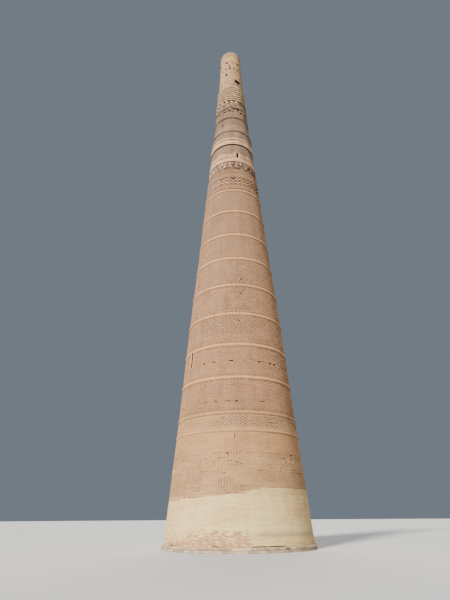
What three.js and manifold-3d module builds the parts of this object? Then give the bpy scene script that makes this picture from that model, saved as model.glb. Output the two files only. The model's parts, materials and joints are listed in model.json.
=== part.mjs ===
// A tall tapering brick minaret on a low footing, as a 1:2 scale model about 30 m high.
// The tower is a stack of brick courses, each one closed drum that reaches from the outer face
// in to the stair well: a repaired foot, plain and patterned walls, pale string rings between
// the stages, a corbelled band, a cornice, weathered drums and a closed cap.
// Heights and radii are measured on the real tower, in metres, and heights start at its foot.
// The model's frame is in millimetres, +Z up, with the photographed front facing -Y and the
// origin in the middle of the footing's underside.

import * as THREE from "three";
import { mergeVertices } from "three/addons/utils/BufferGeometryUtils.js";
import Module from "manifold-3d";

const wasm = await Module();
wasm.setup();

// Scale of the model: 1:2, in model millimetres for one metre of the real tower.
const MM_PER_REAL_METRE = 500;

// Clear bed between two courses, in model millimetres.
const BED = 0.3;

// The round footing under the tower.
const FOOTING_HEIGHT = 0.35;
const FOOTING_RADIUS = 6.1;

// The outer face of the wall, as height and radius. Two stations at one height are a ledge.
const WALL_FACE = [
  [0, 5.95],
  [9.2, 5.15],
  [18.1, 4.46],
  [27.2, 3.63],
  [36.7, 2.86],
  [40.9, 2.46],
  [42, 2.42],
  [43.25, 2.4],
  [43.25, 2.26],
  [45.8, 2.09],
  [49.2, 1.91],
  [52.15, 1.75],
  [52.15, 1.61],
  [54.3, 1.5],
  [57, 1.39],
  [58.7, 1.34],
];

// The stair well: a round shaft that narrows from its floor to the underside of the cap.
const WELL_FLOOR = 7.72;
const WELL_TOP = 58.7;
const WELL_FLOOR_RADIUS = 1.5;
const WELL_TOP_RADIUS = 0.72;

// The pale rings: middle heights, and the size of one ring.
const RING_HEIGHTS = [7.86, 9.22, 12.13, 15.07, 18.07, 21.14, 24.25, 27.22, 30.38, 33.42];
const RING_DEPTH = 0.28;
const RING_PROUD = 0.05;
const RING_CHAMFER = 0.05;

// The rounded, weathered cap.
const CAP_TOP = 60;
const CAP_ROUNDING = 0.34;
const CAP_RISE = 0.5;
const CAP_ROUNDING_STEPS = 4;

// Faces round a drum, fewer where the tower is slender.
const WIDE_FACETS = 48;
const SLENDER_FACETS = 32;
const SLENDER_RADIUS = 3;

// The openings through the wall: azimuths turn from the front towards +X, in degrees.
const SIDE_SLIT = { azimuth: -56, sill: 13.6, head: 15.2, width: 0.26 };
const FRONT_SLIT = { offset: 0.54, sill: 38.4, head: 39.4, width: 0.24 };
const BREACH = { azimuth: 33, height: 53.42, length: 0.8, width: 0.64, slope: 12 };

// Brick, stone and mortar colours of the weathered faces.
const FINISHES = {
  footing_stone: { color: 0xa9a08f, roughness: 0.95 },
  repaired_brick: { color: 0xe2cfae, roughness: 0.92 },
  wall_brick: { color: 0xb79b84, roughness: 0.95 },
  smooth_brick: { color: 0xcbad93, roughness: 0.94 },
  ring_brick: { color: 0xd6b79b, roughness: 0.92 },
  frieze_brick: { color: 0xb3937a, roughness: 0.95 },
  drum_brick: { color: 0xad937f, roughness: 0.95 },
  worn_brick: { color: 0x9d8069, roughness: 0.97 },
};

// Straight line between the two stations that a height lies between.
function faceRadius(height) {
  const next = WALL_FACE.findIndex(([station]) => station > height);
  const upper = next < 0 ? WALL_FACE.length - 1 : next;
  const [z0, r0] = WALL_FACE[upper - 1];
  const [z1, r1] = WALL_FACE[upper];
  return THREE.MathUtils.mapLinear(height, z0, z1, r0, r1);
}

function wellRadius(height) {
  return THREE.MathUtils.mapLinear(
    height,
    WELL_FLOOR,
    WELL_TOP,
    WELL_FLOOR_RADIUS,
    WELL_TOP_RADIUS,
  );
}

// Turned drum from points of radius and height above the drum's own foot, in model millimetres.
// A profile that touches the axis is solid; any other closes on itself round the well.
function turned(profile, facets) {
  const points = profile.map(([radius, height]) => new THREE.Vector2(radius, height));
  if (points[0].x > 0) points.push(points[0].clone());
  const geometry = new THREE.LatheGeometry(points, facets);
  geometry.rotateX(Math.PI / 2);
  return geometry;
}

// Profile of the outer face between two heights, in metres: plain, or standing proud of the
// wall with a chamfer on both edges.
function outerFace(foot, head, proud, chamfer) {
  const justInside = 1e-4;
  const footRadius = faceRadius(foot + justInside);
  const headRadius = faceRadius(head - justInside);
  if (!proud) return [[footRadius, foot], [headRadius, head]];
  return [
    [footRadius + proud - chamfer, foot],
    [footRadius + proud, foot + chamfer],
    [headRadius + proud, head - chamfer],
    [headRadius + proud - chamfer, head],
  ];
}

function innerFace(foot, head) {
  if (head <= WELL_FLOOR) return { foot: [0, foot], head: [0, head] };
  return { foot: [wellRadius(foot), foot], head: [wellRadius(head), head] };
}

// One course of the tower as a named mesh that stands at its own height.
function course({ name, foot, head, finish, proud = 0, chamfer = 0, cut }) {
  const inner = innerFace(foot, head);
  const outer = outerFace(foot, head, proud, chamfer);
  const toModel = ([radius, height]) => {
    const bed = height === foot ? BED : 0;
    return [radius * MM_PER_REAL_METRE, (height - foot) * MM_PER_REAL_METRE + bed];
  };
  const profile = [inner.foot, ...outer, inner.head].map(toModel);
  const facets = outer[0][0] < SLENDER_RADIUS ? SLENDER_FACETS : WIDE_FACETS;
  let geometry = turned(profile, facets);
  if (cut) geometry = cutAway(geometry, cut(foot));
  return named(name, geometry, finish, foot);
}

function named(name, geometry, finish, foot) {
  const material = new THREE.MeshStandardMaterial({ ...FINISHES[finish], metalness: 0 });
  const mesh = new THREE.Mesh(geometry, material);
  mesh.name = name;
  mesh.position.z = (foot + FOOTING_HEIGHT) * MM_PER_REAL_METRE;
  return mesh;
}

function solidOf(geometry) {
  const bare = geometry.clone();
  bare.deleteAttribute("normal");
  bare.deleteAttribute("uv");
  const merged = mergeVertices(bare, 1e-3);
  return new wasm.Manifold(
    new wasm.Mesh({
      numProp: 3,
      vertProperties: merged.attributes.position.array,
      triVerts: new Uint32Array(merged.index.array),
    }),
  );
}

function cutAway(geometry, tool) {
  const mesh = solidOf(geometry).subtract(solidOf(tool)).getMesh();
  const result = new THREE.BufferGeometry();
  result.setAttribute("position", new THREE.BufferAttribute(mesh.vertProperties, 3));
  result.setIndex(new THREE.BufferAttribute(mesh.triVerts, 1));
  result.computeVertexNormals();
  return result;
}

// Square passage from inside the well to beyond the wall, at an azimuth or at an offset from the
// middle. A slope tips its right end down.
function passage({ width, low, high, reach, offset = 0, slope = 0, azimuth = 0 }) {
  const height = high - low;
  const box = new THREE.BoxGeometry(width, reach, height);
  box.rotateY(THREE.MathUtils.degToRad(slope));
  box.translate(offset, -reach / 2, low + height / 2);
  box.scale(MM_PER_REAL_METRE, MM_PER_REAL_METRE, MM_PER_REAL_METRE);
  box.rotateZ(THREE.MathUtils.degToRad(azimuth));
  return box;
}

function sideSlit(foot) {
  const { azimuth, sill, head, width } = SIDE_SLIT;
  return passage({ width, low: sill - foot, high: head - foot, reach: 6, azimuth });
}

function frontSlit(foot) {
  const { offset, sill, head, width } = FRONT_SLIT;
  return passage({ width, low: sill - foot, high: head - foot, reach: 4, offset });
}

function breach(foot) {
  const { azimuth, height, length, width, slope } = BREACH;
  const low = height - width / 2 - foot;
  const high = height + width / 2 - foot;
  return passage({ width: length, low, high, reach: 3, slope, azimuth });
}

// The courses below the first ring, between the rings, and above the last ring: each row gives
// the name, the height of its head and its finish, and what sets it apart.
function lowerCourses() {
  return [
    { name: "repaired_base", head: 3.3, finish: "repaired_brick" },
    { name: "lower_wall", head: 4.85, finish: "wall_brick" },
    { name: "worn_frieze", head: 6.2, finish: "frieze_brick" },
    { name: "smooth_wall", head: WELL_FLOOR, finish: "smooth_brick" },
  ];
}

function ringsAndStages() {
  const rows = [];
  RING_HEIGHTS.forEach((middle, index) => {
    if (index > 0) {
      const stage = index === 1 ? "lower_frieze" : `stage_${index - 1}`;
      rows.push({
        name: stage,
        head: middle - RING_DEPTH / 2,
        finish: index === 1 ? "frieze_brick" : "wall_brick",
        cut: stage === "stage_2" ? sideSlit : undefined,
      });
    }
    rows.push({
      name: `ring_${index + 1}`,
      head: middle + RING_DEPTH / 2,
      finish: "ring_brick",
      proud: RING_PROUD,
      chamfer: RING_CHAMFER,
    });
  });
  return rows;
}

function upperCourses() {
  return [
    { name: "neck_wall", head: 34.3, finish: "drum_brick" },
    { name: "upper_frieze", head: 35.45, finish: "frieze_brick" },
    { name: "collar_wall", head: 36.7, finish: "drum_brick" },
    { name: "corbel_band", head: 37.95, finish: "worn_brick" },
    { name: "pale_band", head: 38.6, finish: "smooth_brick", proud: 0.03 },
    { name: "slit_drum", head: 40.9, finish: "drum_brick", cut: frontSlit },
    { name: "cornice_band", head: 41.55, finish: "ring_brick", proud: 0.1, chamfer: 0.02 },
    { name: "cornice_fillet", head: 42, finish: "ring_brick", proud: 0.05, chamfer: 0.02 },
    { name: "lozenge_drum", head: 43.1, finish: "drum_brick" },
    { name: "ledge_course", head: 43.25, finish: "ring_brick", proud: 0.04, chamfer: 0.02 },
    { name: "plain_drum", head: 45.75, finish: "drum_brick" },
    { name: "string_course", head: 45.95, finish: "ring_brick", proud: 0.04, chamfer: 0.02 },
    { name: "worn_band", head: 47.8, finish: "worn_brick" },
    { name: "dentil_band", head: 49.2, finish: "worn_brick" },
    { name: "ribbed_drum", head: 52.15, finish: "drum_brick" },
    { name: "top_shaft_lower", head: 55.3, finish: "drum_brick", cut: breach },
    { name: "top_shaft_upper", head: WELL_TOP, finish: "smooth_brick" },
  ];
}

// The round footing that the tower stands on.
function footing() {
  const radius = FOOTING_RADIUS * MM_PER_REAL_METRE;
  const height = FOOTING_HEIGHT * MM_PER_REAL_METRE;
  const profile = [[0, 0], [radius, 0], [radius, height], [0, height]];
  return named("footing_ring", turned(profile, WIDE_FACETS), "footing_stone", -FOOTING_HEIGHT);
}

// The cap closes the well: a short straight side, then a quarter round worn in to a low crown.
function topCap() {
  const foot = WELL_TOP;
  const side = faceRadius(foot);
  const shoulder = CAP_TOP - CAP_RISE;
  const edge = [[side, foot]];
  for (let step = 0; step <= CAP_ROUNDING_STEPS; step += 1) {
    const turn = (step / CAP_ROUNDING_STEPS) * (Math.PI / 2);
    const radius = side - CAP_ROUNDING * (1 - Math.cos(turn));
    edge.push([radius, shoulder + 0.8 * CAP_RISE * Math.sin(turn)]);
  }
  const profile = [[0, foot], ...edge, [0, CAP_TOP]].map(([radius, height]) => [
    radius * MM_PER_REAL_METRE,
    (height - foot) * MM_PER_REAL_METRE + (height === foot ? BED : 0),
  ]);
  return named("top_cap", turned(profile, SLENDER_FACETS), "smooth_brick", foot);
}

const minaret = new THREE.Group();
minaret.add(footing());
let foot = 0;
for (const row of [...lowerCourses(), ...ringsAndStages(), ...upperCourses()]) {
  minaret.add(course({ ...row, foot }));
  foot = row.head;
}
minaret.add(topCap());

export default minaret;
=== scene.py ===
"""Brickwork, friezes, weathering and stage for a tall tapering brick minaret, a 1:2 scale model.

Every course of the tower's frame gets a shell of mortar and a skin of separate bricks, laid to
the course's own height and batter. Azimuths run from the front towards +X, in degrees in the
tables and in radians for the bricks. Sizes are those of the real tower, and REAL brings them to
the model.
"""

import json
import math

import bpy
import numpy as np
from bpy.props import FloatProperty, FloatVectorProperty, IntProperty, PointerProperty
from bpy.types import Operator, Panel, PropertyGroup
from mathutils import Matrix, Vector


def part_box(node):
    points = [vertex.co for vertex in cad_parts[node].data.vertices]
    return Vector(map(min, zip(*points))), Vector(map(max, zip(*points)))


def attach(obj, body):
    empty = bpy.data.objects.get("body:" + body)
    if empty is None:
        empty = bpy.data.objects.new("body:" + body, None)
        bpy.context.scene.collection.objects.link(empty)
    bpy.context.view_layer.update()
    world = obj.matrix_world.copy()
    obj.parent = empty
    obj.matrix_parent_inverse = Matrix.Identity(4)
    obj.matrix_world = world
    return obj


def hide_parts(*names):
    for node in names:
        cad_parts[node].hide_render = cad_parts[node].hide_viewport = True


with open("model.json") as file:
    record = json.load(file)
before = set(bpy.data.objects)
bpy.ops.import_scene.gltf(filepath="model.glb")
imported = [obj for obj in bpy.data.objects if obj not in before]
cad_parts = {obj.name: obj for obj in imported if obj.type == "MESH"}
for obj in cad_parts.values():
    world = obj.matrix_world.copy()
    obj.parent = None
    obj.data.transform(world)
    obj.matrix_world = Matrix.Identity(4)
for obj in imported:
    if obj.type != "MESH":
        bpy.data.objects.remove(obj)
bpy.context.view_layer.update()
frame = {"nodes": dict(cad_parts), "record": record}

bl_info = {
    "name": "Brick Minaret",
    "version": (1, 0, 0),
    "blender": (4, 5, 0),
    "location": "3D View > Sidebar > Minaret",
    "description": "Lays the bricks, friezes and cornices of a tapering minaret over its courses",
    "category": "Add Mesh",
}

REAL = 0.5  # model metres for one metre of the real tower
TURN = 2 * math.pi
SHELL_SIDES = 144
FOOT_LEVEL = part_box("footing_ring")[1].z


def level(height):
    """Model height of a height above the real tower's foot."""
    return FOOT_LEVEL + height * REAL


# Settings


def setting(name, description, default, **kind):
    """Property for a number."""
    return FloatProperty(name=name, description=description, default=default, **kind)


def length(name, description, metres):
    """Property for a length of the real tower."""
    return setting(name, description, metres * REAL, unit="LENGTH")


def colour(name, description, *shown):
    """Property for a colour given as it is displayed, from 0 to 255."""
    kind = {"default": [(value / 255) ** 2.2 for value in shown], "subtype": "COLOR"}
    return FloatVectorProperty(name=name, description=description, **kind)


class MinaretBrickwork(PropertyGroup):
    """Sizes of the bricks and their joints."""

    brick_length: length("Brick Length", "Length of a whole brick along the wall", 0.27)
    brick_height: length("Brick Height", "Thickness of a brick", 0.05)
    joint: length("Joint", "Width of the mortar joints", 0.012)
    joint_depth: length("Joint Depth", "How far the mortar lies behind the bricks' faces", 0.016)
    unevenness: length("Unevenness", "How far faces of old bricks stray from the wall", 0.003)
    course_variation: setting("Course Variation", "Change of tone from course to course", 0.07)
    seed: IntProperty(name="Seed", description="Seed of the variation between bricks", default=7)


class MinaretColours(PropertyGroup):
    """Colours of the brick, stone and mortar."""

    wall: colour("Wall Brick", "Weathered brick of the stages", 190, 144, 106)
    lower_wall: colour("Lower Wall Brick", "Paler old brick over the foot", 208, 164, 116)
    upper: colour("Upper Brick", "Weathered brick of the upper drums", 166, 138, 113)
    smooth: colour("Smooth Brick", "Paler brick of the smooth bands", 210, 161, 111)
    top: colour("Top Brick", "Brick of the top shaft and the cap", 210, 172, 127)
    cap: colour("Cap Brick", "Greyer brick of the worn cap", 206, 176, 146)
    ring: colour("Ring Brick", "Pale brick of the rings", 218, 164, 114)
    band: colour("Band Brick", "Pale bands and cornice of the upper drums", 216, 171, 131)
    repaired: colour("Repaired Brick", "New pale brick of the foot", 253, 216, 152)
    worn: colour("Worn Brick", "Eroded brick of the broken bands", 158, 126, 103)
    # Shaded Brick paints the shade of the bricks' undersides, with some soot
    shaded: colour("Shaded Brick", "Sooty undersides of the bricks", 96, 72, 55)
    mortar: colour("Mortar", "Mortar of the old joints", 132, 100, 74)
    pale_mortar: colour("Pale Mortar", "Mortar of repaired and pale courses", 200, 166, 126)
    # Core is rough masonry, made dark to paint the shade in the holes, grooves and well
    core: colour("Core", "Rough masonry in the well and the holes", 62, 46, 35)
    footing: colour("Footing Stone", "Stone of the footing", 205, 182, 150)
    lichen: colour("Lichen", "Grey-green bloom on the upper drums", 152, 138, 106)
    dust: colour("Dust", "Pale dusty bloom on the old walls", 208, 162, 126)
    straw: colour("Straw", "Yellow stain under the cap", 222, 184, 112)
    damp: colour("Damp", "Green-grey stain low on the foot", 150, 148, 120)


class MinaretStage(PropertyGroup):
    """Camera and light."""

    distance: length("Camera Distance", "From the tower's axis to the camera", 39.36)
    eye_height: length("Eye Height", "Height of the camera above the tower's foot", 1.75)
    sideways: length("Sideways", "How far the camera stands to the left of the axis", 0.985)
    pitch: setting("Pitch", "How far it looks up", math.radians(26.86), subtype="ANGLE")
    roll: setting("Roll", "How far it leans to its left", math.radians(-0.37), subtype="ANGLE")
    lens: setting("Lens", "Focal length for a 36 mm long side", 25.9, subtype="DISTANCE_CAMERA")
    sun: setting("Sun", "Strength of the soft key light", 8.75)
    sky: setting("Sky", "Strength of the light all round", 0.24)
    back_light: setting("Back Light", "Strength of the soft light from behind", 3.0)


# Materials


class NodeMaker:
    """Puts a node tree together node by node."""

    def __init__(self, tree):
        self.tree = tree

    def add(self, kind, inputs=(), **settings):
        """Adds a node, links or sets its inputs by name or number, and returns its outputs."""
        node = self.tree.nodes.new(kind)
        for key, value in settings.items():
            setattr(node, key, value)
        for key, value in dict(inputs).items():
            if isinstance(value, bpy.types.NodeSocket):
                self.tree.links.new(value, node.inputs[key])
            else:
                node.inputs[key].default_value = value
        return node.outputs


class Finish(NodeMaker):
    """A material that is put together node by node."""

    def __init__(self, name, roughness):
        self.material = bpy.data.materials.new(name)
        self.material.use_nodes = True
        super().__init__(self.material.node_tree)
        self.shader = next(n.inputs for n in self.tree.nodes if n.type == "BSDF_PRINCIPLED")
        self.shader["Roughness"].default_value = roughness
        self.place = self.add("ShaderNodeTexCoord")["Object"]

    def noise(self, scale, detail, roughness=0.55, stretch=(1, 1, 1)):
        place = self.add("ShaderNodeMapping", {"Vector": self.place, "Scale": stretch})
        inputs = {"Vector": place["Vector"], "Scale": scale, "Detail": detail}
        return self.add("ShaderNodeTexNoise", {**inputs, "Roughness": roughness})["Fac"]

    def attribute(self, name):
        return self.add("ShaderNodeAttribute", attribute_name=name)["Fac"]

    def ramp(self, source, stops):
        """Colours, or greys as one number, by the value of a source."""
        ramped = self.add("ShaderNodeValToRGB", {"Fac": source})["Color"]
        elements = ramped.node.color_ramp.elements
        while len(elements) < len(stops):
            elements.new(0.5)
        for element, (position, shade) in zip(elements, stops.items()):
            element.position = position
            element.color = (*np.broadcast_to(shade, 3), 1)
        return ramped

    def mix(self, first, second, share, blend="MIX"):
        """Mixes an output with another one or with a colour."""
        if not isinstance(second, bpy.types.NodeSocket):
            second = (*second, 1)
        share_socket, first_socket, second_socket, result = 0, 6, 7, 2
        inputs = {share_socket: share, first_socket: first, second_socket: second}
        return self.add("ShaderNodeMix", inputs, data_type="RGBA", blend_type=blend)[result]

    def weather(self, shade, patches, streaks):
        """Broad patches and long thin streaks of rain and dust over a colour."""
        broad = self.ramp(self.noise(0.55, 5, 0.6), {0.3: 1 - patches, 0.7: 1})
        shade = self.mix(shade, broad, 1, "MULTIPLY")
        rain = self.noise(3.2, 3, 0.5, stretch=(1, 1, 0.07))
        return self.mix(shade, self.ramp(rain, {0.42: 1 - streaks, 0.6: 1}), 1, "MULTIPLY")

    def bump(self, height, strength, distance, **below):
        inputs = {"Strength": strength, "Distance": distance, "Height": height, **below}
        return self.add("ShaderNodeBump", inputs)["Normal"]

    def finish(self, shade, normal):
        self.tree.links.new(shade, self.shader["Base Color"])
        self.tree.links.new(normal, self.shader["Normal"])
        return self.material


def scaled(shade, factor):
    return np.minimum(1, np.multiply(shade, factor))


# Contrast between bricks, patches and streaks of each brick finish, and what lies over them: a
# bloom and its strength, a stain, or a fade that tints it more and more up to the top shaft
BRICK_FINISHES = {
    "wall": (0.24, 0.08, 0.1, {"bloom": "dust", "fade": (0.83, 0.87, 0.91)}),
    "lower_wall": (0.22, 0.08, 0.06, {"bloom": "dust"}),
    "upper": (0.26, 0.16, 0.2, {"bloom": "lichen", "strength": 0.25}),
    "smooth": (0.14, 0.08, 0.08, {}),
    "top": (0.2, 0.14, 0.12, {"bloom": "dust", "strength": 0.6, "stain": "straw"}),
    "cap": (0.2, 0.16, 0.12, {"bloom": "dust", "strength": 0.3}),
    "ring": (0.14, 0.1, 0.1, {"fade": (0.98, 1, 1.03)}),
    "band": (0.18, 0.1, 0.12, {}),
    "repaired": (0.22, 0.08, 0.05, {"stain": "damp"}),
    "worn": (0.34, 0.24, 0.2, {"bloom": "lichen", "strength": 0.1}),
    # shaded: painted shade for the downward faces of the bricks, with some soot
    "shaded": (0.2, 0.2, 0.1, {}),
    "footing": (0.24, 0.16, 0.1, {"stain": "damp"}),
}
OTHER_NAMES = {"footing": "footing_stone", "mortar": "old_mortar", "core": "rough_core_and_shade"}


def brick_finish(finish, shade, contrast, patches, streaks, over):
    """Fired brick: each brick has its own tone, with grit, pits, blooms and streaks."""
    paint = bpy.context.scene.minaret_colours
    warm = np.multiply(shade, (1.03, 0.97, 0.92))
    tones = {
        0: scaled(warm, 1 - 1.6 * contrast),
        0.35: scaled(warm, 1 - 0.4 * contrast),
        0.6: shade,
        1: scaled(shade, 1 + contrast),
    }
    tone = finish.ramp(finish.attribute("tone"), tones)
    grit = finish.ramp(finish.noise(70, 3, 0.7), {0.3: 0.86, 0.62: 1.04})
    weathered = finish.weather(finish.mix(tone, grit, 1, "MULTIPLY"), patches, streaks)
    if "bloom" in over:
        stops = {0.46: 0, 0.66: over.get("strength", 0.2)}
        share = finish.ramp(finish.noise(1.3, 5, 0.62), stops)
        weathered = finish.mix(weathered, getattr(paint, over["bloom"]), share)
    if "stain" in over:
        stain = getattr(paint, over["stain"])
        weathered = finish.mix(weathered, stain, finish.attribute("stain"))
    if "fade" in over:
        rise = finish.add("ShaderNodeSeparateXYZ", {0: finish.place})["Z"]
        inputs = {0: rise, 1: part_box("top_shaft_lower")[0].z}
        climb = finish.add("ShaderNodeMath", inputs, operation="DIVIDE")[0]
        dimming = finish.ramp(climb, {0.2: 1, 0.65: over["fade"]})
        weathered = finish.mix(weathered, dimming, 1, "MULTIPLY")
    pits = finish.ramp(finish.noise(38, 2, 0.5), {0.25: 0, 0.45: 1})
    coarse = finish.bump(pits, 0.5, 0.003)
    fine = finish.bump(finish.noise(160, 4, 0.7), 0.35, 0.001, Normal=coarse)
    return finish.finish(weathered, fine)


def mortar_finish(finish, shade, patches):
    """Sandy lime mortar, or the dark rough masonry behind it, partly painted shade."""
    tones = {0.3: scaled(shade, 0.82), 0.7: scaled(shade, 1.08)}
    sand = finish.ramp(finish.noise(90, 4, 0.75), tones)
    weathered = finish.weather(sand, patches, 0.1)
    lumps = finish.bump(finish.noise(22, 5, 0.65), 0.6, 0.006)
    grains = finish.bump(finish.noise(220, 3, 0.7), 0.4, 0.001, Normal=lumps)
    return finish.finish(weathered, grains)


FINISHES = {}


def finish_of(kind):
    """The material of a finish, made when it is first asked for."""
    if kind not in FINISHES:
        shade = getattr(bpy.context.scene.minaret_colours, kind)
        if kind in BRICK_FINISHES:
            finish = Finish(OTHER_NAMES.get(kind, kind + "_brick"), roughness=0.93)
            FINISHES[kind] = brick_finish(finish, shade, *BRICK_FINISHES[kind])
        else:
            finish = Finish(OTHER_NAMES.get(kind, kind), roughness=0.97)
            patches = 0.3 if kind == "core" else 0.2
            FINISHES[kind] = mortar_finish(finish, shade, patches)
    return FINISHES[kind]


# Meshes and objects


def add_object(name, data):
    made = bpy.data.objects.new(name, data)
    bpy.context.scene.collection.objects.link(made)
    return made


def turned_mesh(name, profile, sides=SHELL_SIDES):
    """Closed mesh turned about Z from (radius, height) points. Points on the axis are poles."""
    azimuths = np.arange(sides) * TURN / sides
    vertices, rings, faces = [], [], []
    for radius, height in profile:
        count = sides if radius > 0 else 1
        rings.append([len(vertices) + i % count for i in range(sides)])
        vertices += [(radius * math.cos(a), radius * math.sin(a), height) for a in azimuths[:count]]
    if profile[0][0] > 0:
        rings.append(rings[0])
    for low, high in zip(rings, rings[1:]):
        for i in range(sides):
            j = (i + 1) % sides
            faces.append(tuple(dict.fromkeys((low[i], low[j], high[j], high[i]))))
    mesh = bpy.data.meshes.new(name)
    mesh.from_pydata(vertices, [], faces)
    mesh.validate()
    return mesh


def apply_modifiers(made):
    """Makes what an object's modifiers show its own plain mesh."""
    graph = bpy.context.evaluated_depsgraph_get()
    result = bpy.data.meshes.new_from_object(
        made.evaluated_get(graph), preserve_all_data_layers=True, depsgraph=graph
    )
    made.modifiers.clear()
    old, made.data = made.data, result
    bpy.data.meshes.remove(old)


def join(piece, other):
    """Joins another object into a piece."""
    bpy.ops.object.select_all(action="DESELECT")
    other.select_set(True)
    piece.select_set(True)
    bpy.context.view_layer.objects.active = piece
    bpy.ops.object.join()


def node_slot(node):
    """The record's material slot of a frame node."""
    subparts = frame["record"]["subparts"]
    return next(s["material_slot"] for s in subparts if s["node"] == node)


# Openings


# Corners of each side of a box, and how far a cutter stands out of the wall
BOX_SIDES = [(0, 1, 3, 2), (4, 6, 7, 5), (0, 4, 5, 1), (2, 3, 7, 6), (0, 2, 6, 4), (1, 5, 7, 3)]
CUTTER_SPARE = 0.1


class Opening:
    """A hole in the wall: its middle, its size on the face, and how deep it goes.

    A slope tips its right end down. An offset makes it lie along Y, at that X, instead of
    pointing at the axis. Round a ragged one the bricks have broken away further.
    """

    def __init__(self, azimuth, height, width, tall, deep, ragged=0, slope=0, offset=None):
        self.azimuth, self.slope = math.radians(azimuth), math.radians(slope)
        self.height, self.ragged = level(height), ragged * REAL
        self.width, self.tall, self.deep = width * REAL, tall * REAL, deep * REAL
        self.offset = None if offset is None else offset * REAL

    def reach(self):
        lean = self.tall * math.cos(self.slope) + self.width * math.sin(self.slope)
        return self.height - lean / 2, self.height + lean / 2

    def span(self, height, radius):
        """Azimuths that the hole takes out of a course at a height, or None."""
        rise = height - self.height
        sine, cosine = math.sin(self.slope), math.cos(self.slope)
        low = (-self.width / 2 + sine * rise) / cosine
        high = (self.width / 2 + sine * rise) / cosine
        if sine > 0:
            low = max(low, (-self.tall / 2 - cosine * rise) / sine)
            high = min(high, (self.tall / 2 - cosine * rise) / sine)
        elif abs(rise) > self.tall / 2:
            return None
        if high <= low:
            return None
        # Broken edges, whose ends differ from course to course
        low -= self.ragged * (1 + math.sin(97 * height + 1)) / 2
        high += self.ragged * (1 + math.sin(131 * height)) / 2
        middle = self.azimuth if self.offset is None else math.asin(self.offset / radius)
        return middle + low / radius, middle + high / radius

    def corners(self, radius):
        """Corners of the box that this hole cuts out of a shell."""
        out, deep = radius + CUTTER_SPARE, self.deep + CUTTER_SPARE
        across, up = self.width / 2, self.tall / 2
        if self.offset is None:
            place = Matrix.Rotation(self.azimuth, 4, "Z")
            place = place @ Matrix.Translation((0, -out, self.height))
        else:
            place = Matrix.Translation((self.offset, -out, self.height))
        place = place @ Matrix.Rotation(self.slope, 4, "Y")
        box = [(x, y, z) for x in (-across, across) for y in (0, deep) for z in (-up, up)]
        return [place @ Vector(corner) for corner in box]


# Depth of each kind of hole, and how ragged it is: square holes for scaffold poles, shallower
# ones, larger and deeper ones of the top shaft, ragged ones where the facing has fallen, and
# stretches of one course whose bricks have dropped out
KINDS = {
    "putlog": (0.45, 0),
    "slot": (0.2, 0),
    "niche": (0.3, 0),
    "pole": (0.5, 0),
    "cavity": (0.3, 0.12),
    "seam": (0.045, 0.06),
}


LOWER_ROW, UPPER_ROW = 10.12, 13.55
THROUGH = 5.0  # deep enough to reach the well
SIDE_SLIT = Opening(-56, 14.3, 0.26, 1.4, THROUGH)
# Widths, by azimuth, of the stretches where the joint with the footing has washed out
FOOT_JOINTS = {12.2: 1.1, 24.8: 1.3, -57: 0.5, 95: 1.4, 130: 0.6, 170: 1.2, -100: 1, -140: 0.7}
# Kind, height over the foot, width, tallness and azimuths of like holes
HOLES = [
    ("seam", 0.05, 0.7, 0.066, [-16]),
    ("seam", 3.14, 0.14, 0.066, [-46, -41, -37, 150, -120]),
    ("seam", 6.14, 0.14, 0.066, [-9.4, -5]),
    ("seam", 6.14, 0.26, 0.066, [50, 84, 133, 205, 290]),
    ("slot", LOWER_ROW, 0.26, 0.08, [-30.5, -20.9]),
    ("slot", LOWER_ROW, 0.44, 0.075, [-9.6, 22.5]),
    ("putlog", LOWER_ROW, 0.22, 0.09, [-1.4]),
    ("putlog", LOWER_ROW, 0.2, 0.13, range(70, 320, 25)),
    ("putlog", UPPER_ROW, 0.24, 0.12, [-35.5, 22.7]),
    ("putlog", UPPER_ROW, 0.32, 0.1, [35.9, 42.2, 57.7, 66]),
    ("putlog", UPPER_ROW, 0.24, 0.07, [-23.6]),
    ("niche", 13.58, 0.34, 0.078, [-5.9]),
    ("seam", 13.62, 0.3, 0.066, [-26, 27]),
    ("seam", 13.62, 0.4, 0.066, [8]),
    ("putlog", UPPER_ROW, 0.2, 0.13, range(90, 310, 20)),
    ("putlog", 17.4, 0.12, 0.13, [3.6]),
    ("putlog", 20.2, 0.18, 0.13, [6]),
    ("putlog", 21.8, 0.14, 0.13, [7.7]),
    ("putlog", 17.4, 0.2, 0.13, [190]),
    ("putlog", 21.8, 0.2, 0.13, [175]),
    ("putlog", 42.7, 0.16, 0.14, [6.1, 24, 110, 200]),
    ("putlog", 44.61, 0.26, 0.14, [-33]),
    ("pole", 57.4, 0.28, 0.42, [-23.7, 44.7, 140, 215, 290]),
    ("pole", 57.45, 0.18, 0.28, [8]),
    ("pole", 56.05, 0.24, 0.32, [-29, -4.4, 18.4, 39, 120, 190, 255]),
    ("pole", 55.85, 0.2, 0.28, [-47, 150]),
    ("pole", 54.76, 0.28, 0.46, [-24]),
    ("cavity", 36.88, 0.1, 0.1, [-32, -15.5, -10, 101, 150, 300]),
    ("cavity", 36.84, 0.24, 0.2, [6, 13, 118, 165, 226, 285]),
    ("cavity", 36.9, 0.2, 0.3, [33, 43, 78, 137, 204, 262]),
    ("cavity", 36.98, 0.36, 0.56, [54, 63, 90, 190, 270]),
    ("cavity", 47.22, 0.2, 0.28, [-8, 85, 125, 165, 215, 300]),
    ("cavity", 47.44, 0.24, 0.24, [22.5, 100, 150, 200, 262]),
    ("cavity", 47.0, 0.14, 0.2, [-27.5, 48, 70, 110, 184, 250]),
    ("cavity", 46.92, 0.1, 0.12, [-17, 4, 59, 136, 232]),
    ("cavity", 46.95, 0.16, 0.4, [-46, 34, 92, 175, 275]),
    ("cavity", 48.5, 0.3, 0.2, [36, -52, 100, 160, 240]),
]
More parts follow.
